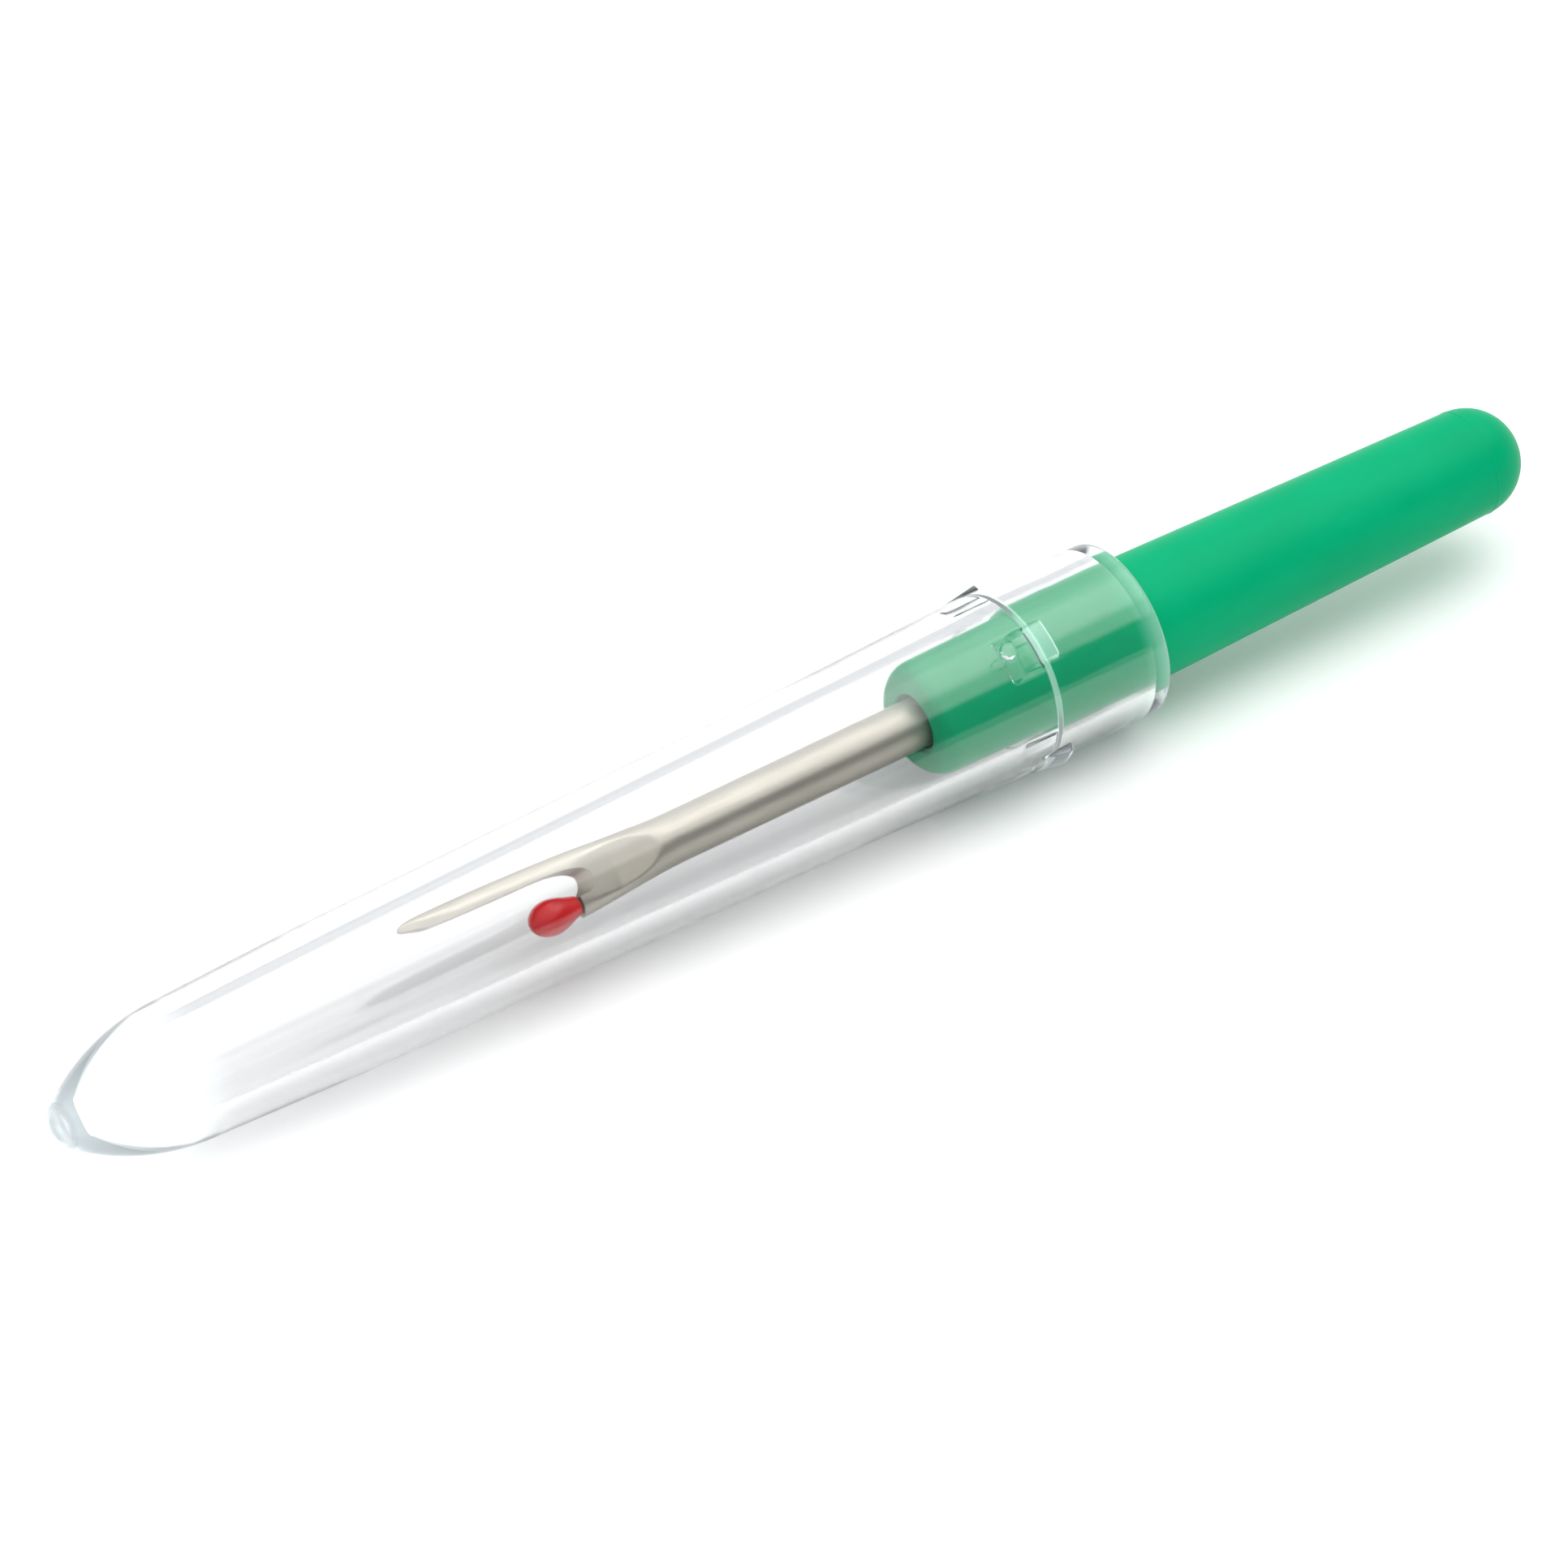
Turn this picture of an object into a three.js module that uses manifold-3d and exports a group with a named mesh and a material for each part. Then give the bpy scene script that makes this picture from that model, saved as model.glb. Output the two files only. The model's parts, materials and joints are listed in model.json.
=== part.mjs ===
// A capped seam ripper lying on its side: a moulded plastic handle, a forked steel blade set into it,
// a plastic ball on the blade's short prong, and a clear push-on cap over the blade.
//
// Millimetres, +Z up. Every piece is first made along the tool's own axis, +X, with stations that
// count from the cap's tip (0) to the handle's domed tail. The whole tool is then tilted as it lies
// on a table, with the origin on the table under the middle of its box.

import * as THREE from 'three';
import { mergeVertices } from 'three/addons/utils/BufferGeometryUtils.js';
import Module from 'manifold-3d';

const wasm = await Module();
wasm.setup();

// ---------------------------------------------------------------- driving dimensions
const CAP_SIDES = 24; // facets round the cap: broad enough for it to lie still on one of them
const HANDLE_SIDES = 48;
const WIRE_SIDES = 32; // facets round the blade's shank and the ball
const SMALL_SIDES = 16; // facets round the prong's pin and the gate mark
const RUNNING_GAP = 0.15; // between pieces that are set into each other

// Cap, outside: a flat end, an ogive nose, a slim flared body, a step and a straight collar.
const CAP_END_RADIUS = 1.05;
const OGIVE_ARC_RADIUS = 12.6;
const NOSE_END = { at: 7.6, radius: 3.6 };
const BODY_FRONT = { at: 16, radius: 3.88 };
const BODY_BACK = { at: 46, radius: 4.3 };
const BODY_FLARE = { at: 54.9, radius: 4.54 };
const BODY_STEP = { at: 57, radius: 4.6 };
const COLLAR = { from: 57.4, to: 62.85, radius: 4.47 };
const LIP_ROUND = 0.3;
const OGIVE_STEPS = 9;
const LIP_STEPS = 3;

// Cap, inside: a cavity that follows the outside, then a ledge and a wider bore in the collar.
const CAVITY_END = { at: 1.7, radius: 0.6 };
const CAVITY_NOSE = { at: 7.9, radius: 2.33 };
const CAVITY_FRONT = { at: 16, radius: 2.53 };
const CAVITY_BACK = { at: 46, radius: 3.08 };
const CAVITY_LEDGE = { at: 56.45, radius: 3.25 };
const COLLAR_BORE_RADIUS = 3.46;
const BORE_CHAMFER = { length: 0.6, rise: 0.4 };

// Grip lugs: four blocks in the cap's wall that stand out inside, to hold the handle's nose, and
// outside, as short ramps.
const LUG_WIDTH = 1.9;
const LUG_RAMP = { from: 54.95, to: 56.9, radius: 4.8 };
const LUG_PAD = { from: 54.6, to: 56.4, radius: 3.12 };
const LUG_TURN = THREE.MathUtils.degToRad(33.4);
const LUG_CUT_MARGIN = 1; // how far the bars that cut the lugs reach past them
const GATE_MARK = { at: 54.5, radius: 0.38, height: 1, top: 4.7, turn: THREE.MathUtils.degToRad(120) };

// Handle: a rounded nose that plugs into the cap, a small shoulder, a long taper and a domed tail.
const NOSE_FACE = { at: 50.4, radius: 1.95 }; // the flat, inside the rounding
const NOSE_ROUND = 0.95;
const NOSE_BACK = { at: 56.5, radius: 2.98 };
const SHOULDER = { at: 56.7, radius: 3.2 };
const WIDEST = { at: 62, radius: 3.22 };
const DOME = { at: 84, radius: 2.67 };
const MOUTH = { radius: 1.5, depth: 0.3 };
const TANG_CHAMBER = { from: 58, to: 62, radius: 1.95 };
const SHANK_HOLE_END = 63.2;
const NOSE_STEPS = 5;
const DOME_STEPS = 9;

// Blade: round wire, flattened into a head that forks into a long point and a short prong. The
// fork's outline is given by stations and heights, in the plane of the fork.
const SHANK_RADIUS = 1.26;
const SHANK_END = 62.7;
const SHANK_CHAMFER = 0.4;
const SHANK_FRONT = 33; // inside the head
const SHANK_TAPER = { to: 35.4, by: 0.1 };
const TANG = { from: 58.6, to: 61.4, width: 3.4, thickness: 0.9 };
const CLEAR_OF_SHANK = { at: 65, reach: 1.4 }; // where the cutting outlines end, outside the shank
const OUTLINE_DEPTH = 4;
const NECK = { at: 35, y: 1.3 }; // where the head meets the round shank
const NECK_EASE = 0.8; // length over which the outline then leaves the shank alone
const HEAD = { at: 30.65, y: 1.6 };
const HEAD_BEND = { at: 32.8, y: 1.42 };
const PRONG_BACK = { at: 29.85, y: -1.62 };
const LONG_BACK = { at: 23.05, y: 1.88 };
const LONG_BEND = { at: 26.95, y: 1.8 };
const POINT = { at: 20.45, y: 1.66 };
const POINT_BEND = { at: 21, y: 1.88 };
const POINT_UNDER = { at: 20.5, y: 1.44 };
const POINT_HEEL = { at: 21.75, y: 1.06 };
const EDGE_BEND = { at: 23.95, y: 0.95 };
const EDGE_END = { at: 27.65, y: 0.9 };
const THROAT_TOP = { at: 29.05, y: 0.86 };
const THROAT_BEND = 0.66;
const CROTCH = { at: 30.3, y: 0.1 };
const CROTCH_BEND = -0.3;
const PRONG_FRONT = { at: 29.85, y: -0.62 };
const THROAT_STEPS = 12;
const EDGE_SLOPE = 1.05; // how far the crotch's bevel leans back for each millimetre of thickness

// Half thicknesses of the head along the blade, from the point to where the flats run out.
const FLAT_POINT = { at: 20.45, half: 0.12 };
const FLAT_TIP = { at: 21.8, half: 0.48 };
const FLAT_FORK = { at: 23.4, half: 0.62 };
const FLAT_ROOT = { at: 32.2, half: 0.62 };
const FLAT_RISE = { at: 33.2, half: 0.76 };
const FLAT_SHOULDER = { at: 34, half: 0.98 };
const FLAT_END = { at: 34.6, half: 1.26 };

// The oval bar that the head is cut from: radii across the fork, and its thickness as a share.
const BAR_FRONT = { at: 19.5, radius: 1.9 };
const BAR_LONG = { at: 23.05, radius: 1.9 };
const BAR_HEAD = { at: 30.65, radius: 1.66 };
const BAR_NECK = { at: 34.4, radius: 1.34 };
const BAR_BACK = { at: 36.4, radius: 1.2 };
const HEAD_ROUNDING = 0.56;
const BLADE_ROLL = THREE.MathUtils.degToRad(45); // turn of the fork about the tool's axis

// Ball: an egg, its narrow end towards the shank, with a blind hole for the short prong.
const BALL = { front: 27.05, widest: 28.2, back: 29.75, radius: 0.9, neckRadius: 0.5, y: -0.96 };
const PRONG_PIN = { from: 28.25, to: 30.4, radius: 0.3 };
const EGG_STEPS = 16;

// ---------------------------------------------------------------- geometry helpers
const WELD = 1e-5; // corners closer than this are one corner

// A point of a lathe profile: its radius, and its station along the axis.
function at(radius, station) {
  return new THREE.Vector2(radius, station);
}

function ringPoint(ring) {
  return at(ring.radius, ring.at);
}

// Turns a profile about the tool's axis, with a flat facet at the bottom of the ring.
function turned(profile, sides) {
  const geometry = new THREE.LatheGeometry(profile, sides, Math.PI / sides);
  geometry.rotateZ(-Math.PI / 2);
  return geometry;
}

// Points on a circular arc of a profile, from one angle to another, both in degrees.
function arc(radius, station, size, fromDegrees, toDegrees, steps) {
  const points = [];
  for (let i = 0; i <= steps; i += 1) {
    const angle = THREE.MathUtils.degToRad(THREE.MathUtils.lerp(fromDegrees, toDegrees, i / steps));
    points.push(at(radius + size * Math.cos(angle), station + size * Math.sin(angle)));
  }
  return points;
}

// The ogive from a blunt end to a ring where it runs parallel to the axis.
function ogive(endRadius, ring, steps) {
  const centreRadius = ring.radius - OGIVE_ARC_RADIUS;
  const sweep = THREE.MathUtils.radToDeg(Math.acos((endRadius - centreRadius) / OGIVE_ARC_RADIUS));
  return arc(centreRadius, ring.at, OGIVE_ARC_RADIUS, -sweep, 0, steps);
}

// A watertight solid for cutting and joining, made from a geometry's shared corners.
function solid(geometry) {
  const bare = geometry.clone();
  bare.deleteAttribute('normal');
  bare.deleteAttribute('uv');
  const merged = mergeVertices(bare.index ? bare.toNonIndexed() : bare, WELD);
  return new wasm.Manifold(new wasm.Mesh({
    numProp: 3,
    vertProperties: merged.attributes.position.array,
    triVerts: new Uint32Array(merged.index.array),
  }));
}

function geometryOf(manifold) {
  const mesh = manifold.getMesh();
  const geometry = new THREE.BufferGeometry();
  geometry.setAttribute('position', new THREE.BufferAttribute(mesh.vertProperties, 3));
  geometry.setIndex(new THREE.BufferAttribute(mesh.triVerts, 1));
  return geometry;
}

function box(fromStation, toStation, width, height) {
  const geometry = new THREE.BoxGeometry(toStation - fromStation, width, height);
  geometry.translate((fromStation + toStation) / 2, 0, 0);
  return geometry;
}

// A shape drawn in station and sideways height, given thickness about its own plane.
function plate(shape, thickness) {
  const geometry = new THREE.ExtrudeGeometry(shape, { depth: thickness, bevelEnabled: false });
  geometry.translate(0, 0, -thickness / 2);
  return geometry;
}

// ---------------------------------------------------------------- cap
function capOutside() {
  return [
    at(0, 0),
    ...ogive(CAP_END_RADIUS, NOSE_END, OGIVE_STEPS),
    ringPoint(BODY_FRONT),
    ringPoint(BODY_BACK),
    ringPoint(BODY_FLARE),
    ringPoint(BODY_STEP),
    at(COLLAR.radius, COLLAR.from),
    ...arc(COLLAR.radius - LIP_ROUND, COLLAR.to - LIP_ROUND, LIP_ROUND, 0, 90, LIP_STEPS),
  ];
}

function capInside() {
  const fromTip = [
    at(0, CAVITY_END.at),
    ...ogive(CAVITY_END.radius, CAVITY_NOSE, OGIVE_STEPS),
    ringPoint(CAVITY_FRONT),
    ringPoint(CAVITY_BACK),
    ringPoint(CAVITY_LEDGE),
    at(COLLAR_BORE_RADIUS, CAVITY_LEDGE.at),
    at(COLLAR_BORE_RADIUS, COLLAR.to - BORE_CHAMFER.length),
    at(COLLAR_BORE_RADIUS + BORE_CHAMFER.rise, COLLAR.to),
  ];
  return fromTip.reverse();
}

// A full ring of the lugs' section, of which only four short stretches are kept.
function lugs() {
  const middleRadius = (CAVITY_BACK.radius + BODY_BACK.radius) / 2;
  const section = [
    at(middleRadius, LUG_PAD.from),
    at(middleRadius, LUG_RAMP.from),
    at(BODY_FLARE.radius, LUG_RAMP.from),
    at(LUG_RAMP.radius, LUG_RAMP.to),
    at(middleRadius, LUG_RAMP.to),
    at(middleRadius, LUG_PAD.to),
    at(LUG_PAD.radius, LUG_PAD.to),
    at(LUG_PAD.radius, LUG_PAD.from),
    at(middleRadius, LUG_PAD.from),
  ];
  const ring = solid(turned(section, CAP_SIDES));
  return ring.intersect(lugBar(LUG_TURN).add(lugBar(LUG_TURN + Math.PI / 2)));
}

// A bar right across the cap that keeps two opposite lugs.
function lugBar(turn) {
  const reach = 2 * (LUG_RAMP.radius + LUG_CUT_MARGIN);
  const bar = box(LUG_PAD.from - LUG_CUT_MARGIN, LUG_RAMP.to + LUG_CUT_MARGIN, reach, LUG_WIDTH);
  bar.rotateX(turn);
  return solid(bar);
}

// The small round mark that the moulding gate leaves on the outside of one lug.
function gateMark() {
  const { radius, height } = GATE_MARK;
  const mark = new THREE.CylinderGeometry(radius, radius, height, SMALL_SIDES);
  mark.translate(0, GATE_MARK.top - height / 2, 0);
  mark.rotateX(GATE_MARK.turn);
  mark.translate(GATE_MARK.at, 0, 0);
  return solid(mark);
}

function capGeometry() {
  const shell = solid(turned([...capOutside(), ...capInside()], CAP_SIDES));
  return geometryOf(shell.add(lugs()).add(gateMark()));
}

// ---------------------------------------------------------------- handle
function handleGeometry() {
  const holeRadius = SHANK_RADIUS + RUNNING_GAP;
  const profile = [
    at(0, SHANK_HOLE_END),
    at(holeRadius, SHANK_HOLE_END),
    at(holeRadius, TANG_CHAMBER.to),
    at(TANG_CHAMBER.radius, TANG_CHAMBER.to),
    at(TANG_CHAMBER.radius, TANG_CHAMBER.from),
    at(holeRadius, TANG_CHAMBER.from),
    at(holeRadius, NOSE_FACE.at + MOUTH.depth),
    at(MOUTH.radius, NOSE_FACE.at + MOUTH.depth),
    at(MOUTH.radius, NOSE_FACE.at),
    ...arc(NOSE_FACE.radius, NOSE_FACE.at + NOSE_ROUND, NOSE_ROUND, -90, 0, NOSE_STEPS),
    ringPoint(NOSE_BACK),
    ringPoint(SHOULDER),
    ringPoint(WIDEST),
    ...arc(0, DOME.at, DOME.radius, 0, 90, DOME_STEPS),
  ];
  return turned(profile, HANDLE_SIDES);
}

// ---------------------------------------------------------------- blade
// The sharp curve between the two prongs, from the long point's edge to the short prong's front.
function throat(path) {
  path.moveTo(EDGE_END.at, EDGE_END.y);
  path.bezierCurveTo(THROAT_TOP.at, THROAT_TOP.y, CROTCH.at, THROAT_BEND, CROTCH.at, CROTCH.y);
  path.quadraticCurveTo(CROTCH.at, CROTCH_BEND, PRONG_FRONT.at, PRONG_FRONT.y);
}

// The blade seen from the side: the throat, the short prong's stub, and back along the long point.
function forkOutline() {
  const shape = new THREE.Shape();
  throat(shape);
  shape.lineTo(PRONG_BACK.at, PRONG_BACK.y);
  shape.quadraticCurveTo(HEAD_BEND.at, -HEAD_BEND.y, NECK.at, -NECK.y);
  shape.lineTo(NECK.at + NECK_EASE, -CLEAR_OF_SHANK.reach);
  shape.lineTo(CLEAR_OF_SHANK.at, -CLEAR_OF_SHANK.reach);
  shape.lineTo(CLEAR_OF_SHANK.at, CLEAR_OF_SHANK.reach);
  shape.lineTo(NECK.at + NECK_EASE, CLEAR_OF_SHANK.reach);
  shape.lineTo(NECK.at, NECK.y);
  shape.quadraticCurveTo(HEAD_BEND.at, HEAD_BEND.y, HEAD.at, HEAD.y);
  shape.quadraticCurveTo(LONG_BEND.at, LONG_BEND.y, LONG_BACK.at, LONG_BACK.y);
  shape.quadraticCurveTo(POINT_BEND.at, POINT_BEND.y, POINT.at, POINT.y);
  shape.lineTo(POINT_UNDER.at, POINT_UNDER.y);
  shape.lineTo(POINT_HEEL.at, POINT_HEEL.y);
  shape.quadraticCurveTo(EDGE_BEND.at, EDGE_BEND.y, EDGE_END.at, EDGE_END.y);
  return shape;
}

// The blade seen from the fork's edge: thin at the point, flat over the fork, full at the shank.
function flatsOutline() {
  const beyond = { at: CLEAR_OF_SHANK.at, half: CLEAR_OF_SHANK.reach };
  const eased = { at: FLAT_END.at + RUNNING_GAP, half: CLEAR_OF_SHANK.reach };
  const stations = [
    FLAT_POINT,
    FLAT_TIP,
    FLAT_FORK,
    FLAT_ROOT,
    FLAT_RISE,
    FLAT_SHOULDER,
    FLAT_END,
    eased,
    beyond,
  ];
  const top = stations.map((station) => new THREE.Vector2(station.at, station.half));
  const bottom = stations.map((station) => new THREE.Vector2(station.at, -station.half));
  return new THREE.Shape([...top, ...bottom.reverse()]);
}

function headBar() {
  const bar = turned([
    at(0, BAR_FRONT.at),
    ringPoint(BAR_FRONT),
    ringPoint(BAR_LONG),
    ringPoint(BAR_HEAD),
    ringPoint(BAR_NECK),
    ringPoint(BAR_BACK),
    at(0, BAR_BACK.at),
  ], WIRE_SIDES);
  bar.scale(1, 1, HEAD_ROUNDING);
  return solid(bar);
}

// The slope that is ground back from the throat on one face of the blade, side +1 or -1.
function throatBevel(side) {
  const edge = new THREE.Shape();
  throat(edge);
  edge.lineTo(EDGE_END.at, PRONG_FRONT.y);
  const depth = OUTLINE_DEPTH / 2;
  const settings = { depth, bevelEnabled: false, curveSegments: THROAT_STEPS };
  const geometry = new THREE.ExtrudeGeometry(edge, settings);
  geometry.translate(0, 0, side > 0 ? 0 : -depth);
  geometry.applyMatrix4(new THREE.Matrix4().makeShear(0, 0, 0, 0, side * EDGE_SLOPE, 0));
  return solid(geometry);
}

function shank() {
  return solid(turned([
    at(0, SHANK_FRONT),
    at(SHANK_RADIUS - SHANK_TAPER.by, SHANK_FRONT),
    at(SHANK_RADIUS, SHANK_TAPER.to),
    at(SHANK_RADIUS, SHANK_END - SHANK_CHAMFER),
    at(SHANK_RADIUS - SHANK_CHAMFER, SHANK_END),
    at(0, SHANK_END),
  ], WIRE_SIDES));
}

// The thin end of the short prong, which carries the ball.
function prongPin() {
  const pin = turned([
    at(0, PRONG_PIN.from),
    at(PRONG_PIN.radius, PRONG_PIN.from),
    at(PRONG_PIN.radius, PRONG_PIN.to),
    at(0, PRONG_PIN.to),
  ], SMALL_SIDES);
  pin.translate(0, BALL.y, 0);
  return solid(pin);
}

function bladeGeometry() {
  const flats = plate(flatsOutline(), OUTLINE_DEPTH);
  flats.rotateX(Math.PI / 2);
  const wire = headBar()
    .add(shank())
    .intersect(solid(plate(forkOutline(), OUTLINE_DEPTH)))
    .intersect(solid(flats))
    .subtract(throatBevel(1))
    .subtract(throatBevel(-1));
  const tang = solid(box(TANG.from, TANG.to, TANG.width, TANG.thickness));
  return geometryOf(wire.add(tang).add(prongPin()));
}

// ---------------------------------------------------------------- ball
// Two half ovals end to end, the back one cut off where the prong comes out.
function eggProfile() {
  const neckShare = BALL.neckRadius / BALL.radius;
  const backLength = (BALL.back - BALL.widest) / Math.sqrt(1 - neckShare ** 2);
  const points = [];
  for (let i = 0; i <= EGG_STEPS; i += 1) {
    const spread = (1 - Math.cos((i / EGG_STEPS) * Math.PI)) / 2;
    const station = THREE.MathUtils.lerp(BALL.front, BALL.back, spread);
    const length = station < BALL.widest ? BALL.widest - BALL.front : backLength;
    const share = Math.min(1, Math.abs(station - BALL.widest) / length);
    points.push(at(BALL.radius * Math.sqrt(1 - share ** 2), station));
  }
  return points;
}

function ballGeometry() {
  const holeRadius = PRONG_PIN.radius + RUNNING_GAP / 2;
  const holeEnd = PRONG_PIN.from - RUNNING_GAP;
  const profile = [
    ...eggProfile(),
    at(holeRadius, BALL.back),
    at(holeRadius, holeEnd),
    at(0, holeEnd),
  ];
  const geometry = turned(profile, WIRE_SIDES);
  geometry.translate(0, BALL.y, 0);
  return geometry;
}

// ---------------------------------------------------------------- assembly
const green = new THREE.MeshStandardMaterial({ color: 0x08b883, roughness: 0.35, metalness: 0 });
const steel = new THREE.MeshStandardMaterial({ color: 0xbdb8ac, roughness: 0.32, metalness: 1 });
const red = new THREE.MeshStandardMaterial({ color: 0xd01a20, roughness: 0.22, metalness: 0 });
const clear = new THREE.MeshStandardMaterial({
  color: 0xe9eff2,
  roughness: 0.06,
  metalness: 0,
  transparent: true,
  opacity: 0.35,
});

function part(name, geometry, material) {
  const mesh = new THREE.Mesh(geometry, material);
  mesh.name = name;
  return mesh;
}

function fork() {
  const group = new THREE.Group();
  group.add(part('forked_blade', bladeGeometry(), steel));
  group.add(part('ball_tip', ballGeometry(), red));
  group.rotation.x = BLADE_ROLL;
  return group;
}

// The tool lies on two rings of its cap, the front of the body and the step, and each is lowest in
// the middle of a facet, so the axis rises towards the tail.
function lyingTool() {
  const tool = new THREE.Group();
  tool.add(part('handle', handleGeometry(), green));
  tool.add(fork());
  tool.add(part('cap', capGeometry(), clear));
  const rise = (BODY_STEP.radius - BODY_FRONT.radius) / (BODY_STEP.at - BODY_FRONT.at);
  tool.rotation.y = -Math.atan(rise * Math.cos(Math.PI / CAP_SIDES));
  return tool;
}

const seamRipper = new THREE.Group();
const tool = lyingTool();
seamRipper.add(tool);
const bounds = new THREE.Box3().setFromObject(seamRipper, true);
tool.position.set(
  -(bounds.min.x + bounds.max.x) / 2,
  -(bounds.min.y + bounds.max.y) / 2,
  -bounds.min.z,
);

export default seamRipper;
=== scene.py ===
"""The looks of a capped seam ripper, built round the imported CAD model. Metres, +Z up.

Every piece is made along the tool's own axis, in millimetres: x is the station, counted from the
cap's tip (0) to the handle's domed tail, and y and z are across the axis. TOOL carries that on to
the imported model, where the tool lies on its cap with its axis rising a little towards the tail."""
import json
import math

import bmesh
import bpy
import numpy as np
from mathutils import Matrix, Vector


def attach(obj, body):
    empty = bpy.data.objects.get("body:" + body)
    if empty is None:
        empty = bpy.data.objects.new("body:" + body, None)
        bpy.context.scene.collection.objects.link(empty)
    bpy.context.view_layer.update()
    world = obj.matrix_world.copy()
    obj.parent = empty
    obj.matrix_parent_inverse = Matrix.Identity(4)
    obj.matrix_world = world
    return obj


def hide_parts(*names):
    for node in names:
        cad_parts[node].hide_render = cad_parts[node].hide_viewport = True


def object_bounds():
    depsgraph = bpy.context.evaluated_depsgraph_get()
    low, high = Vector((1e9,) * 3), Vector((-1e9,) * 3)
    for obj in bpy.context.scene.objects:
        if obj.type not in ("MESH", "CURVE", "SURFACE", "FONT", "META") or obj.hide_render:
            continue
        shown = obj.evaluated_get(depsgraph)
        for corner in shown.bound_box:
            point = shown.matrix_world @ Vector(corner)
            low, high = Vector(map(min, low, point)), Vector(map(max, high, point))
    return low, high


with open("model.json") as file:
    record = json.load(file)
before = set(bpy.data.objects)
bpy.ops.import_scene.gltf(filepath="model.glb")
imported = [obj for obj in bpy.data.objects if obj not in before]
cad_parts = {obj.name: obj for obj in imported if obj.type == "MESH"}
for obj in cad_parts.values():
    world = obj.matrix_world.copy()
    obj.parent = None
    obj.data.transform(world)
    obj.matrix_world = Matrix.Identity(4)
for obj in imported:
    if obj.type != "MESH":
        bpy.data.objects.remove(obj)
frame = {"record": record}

cad_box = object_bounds()
scene = bpy.context.scene

MM = 0.001
FULL_TURN = 2 * math.pi
SMOOTH_ROUND = 0.9957  # the round wall of the cap as a share of its corners in the CAD

# ------------------------------------------------------------------ dimensions, in millimetres
# A point of a profile is (station, radius). A corner is a point with its rounding after it.
# Cap, outside
CAP_END_RADIUS, CAP_END_ROUND = 1.05, 0.28
OGIVE_ARC = 12.6
NOSE_END = (7.6, 3.6)
BODY_FRONT = (16.0, 3.88)
BODY_BACK = (46.0, 4.3)
BODY_FLARE = (54.9, 4.54)
BODY_STEP = (55.8, 4.55)
COLLAR_FROM, COLLAR_TO, COLLAR_RADIUS = 58.6, 62.85, 4.48
FRONT_EASE, BACK_EASE, FLARE_EASE, COLLAR_EASE = 30, 40, 4, 25
RIM_ROUND = 0.3

# Cap, inside
CAVITY_END, CAVITY_END_ROUND = (1.7, 0.6), 0.35
CAVITY_NOSE = (7.9, 2.33)
CAVITY_FRONT = (16.0, 2.53)
CAVITY_BACK = (46.0, 3.08)
CAVITY_LEDGE, LEDGE_SLOPE, LEDGE_ROUND = (56.45, 3.25), 0.15, 0.03
COLLAR_BORE = 3.46
BORE_CHAMFER_LENGTH, BORE_CHAMFER_RISE, BORE_CHAMFER_ROUND = 0.6, 0.4, 0.06

# Grip lugs and the gate mark in the cap's wall. Soft is half the width of a blended edge.
LUG_WIDTH, LUG_SOFT = 1.9, 0.14
LUG_FROM, LUG_TO, LUG_OUTER = 54.95, 56.9, 4.8
LUG_TURNS = [math.radians(33.4 + 90 * k) for k in range(4)]
PAD_FROM, PAD_TO, PAD_INNER = 54.6, 56.4, 3.12
GATE_AT, GATE_TURN, GATE_RADIUS, GATE_TOP = 54.65, math.radians(120), 0.38, 4.63
GATE_SOFT = 0.03
MOAT_FROM, MOAT_TO, MOAT_EDGE, MOAT_DEPTH = 0.39, 0.56, 0.06, 0.03

# Handle
NOSE_FACE = (50.4, 2.9)
NOSE_ROUND = 0.95
NOSE_BACK = (56.5, 2.98)
SHOULDER = (56.7, 3.2)
WIDEST, WIDEST_EASE = (62.0, 3.22), 10
DOME = (84.0, 2.67)
WITNESS_LINE = [(-0.12, 0.004), (-0.05, 0.022), (0.03, 0.022), (0.10, -0.003)]  # from DOME
MOUTH_RADIUS, MOUTH_DEPTH, MOUTH_ROUND = 1.5, 0.3, 0.12
SHANK_HOLE_RADIUS, SHANK_HOLE_END = 1.41, 63.2

# Blade. Its outlines are control points in its own plane: station, then height towards the back
# of the long point. Each list runs on from the one before.
POINT_AT = 20.45
POINT_BACK = [(20.45, 1.54), (20.45, 1.76), (20.9, 1.86), (21.9, 1.88)]
LONG_BACK = [(21.9, 1.88), (26.95, 1.83), (30.65, 1.6)]
HEAD_BACK = [(30.65, 1.6), (32.8, 1.42), (35, 1.29)]
SHANK_FROM, SHANK_RADIUS, SHANK_END = 36, 1.26, 62.7
SHANK_END_LENGTH, SHANK_END_DROP = 0.4, 0.3
PRONG_FACE = 29.85
THROAT_LOWER = [(29.85, -0.62), (30.3, -0.3), (30.3, 0.1)]
THROAT_UPPER = [(30.3, 0.1), (30.3, 0.66), (29.05, 0.86), (27.65, 0.9)]
LONG_EDGE = [(27.65, 0.9), (23.95, 0.95), (21.8, 1.08)]
POINT_UNDER = [(20.66, 1.40), (20.5, 1.44), (20.4, 1.54)]
THROAT_SLOPE = 1.05
CUTTER_FRONT, CUTTER_SIDE, CUTTER_HALF = 19, 4, 1.5
BLADE_ROLL = math.radians(45)
# Half the thickness that the two pressed flats leave, along the blade
FLAT_AT = [20.45, 20.6, 21.0, 21.8, 23.4, 32.2, 33.2, 34, 34.6, 35.2, SHANK_END]
FLAT_HALF = [0.06, 0.2, 0.32, 0.48, 0.6, 0.62, 0.76, 0.98, 1.24, 1.6, 2]
FLAT_EDGE = 0.07
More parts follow.
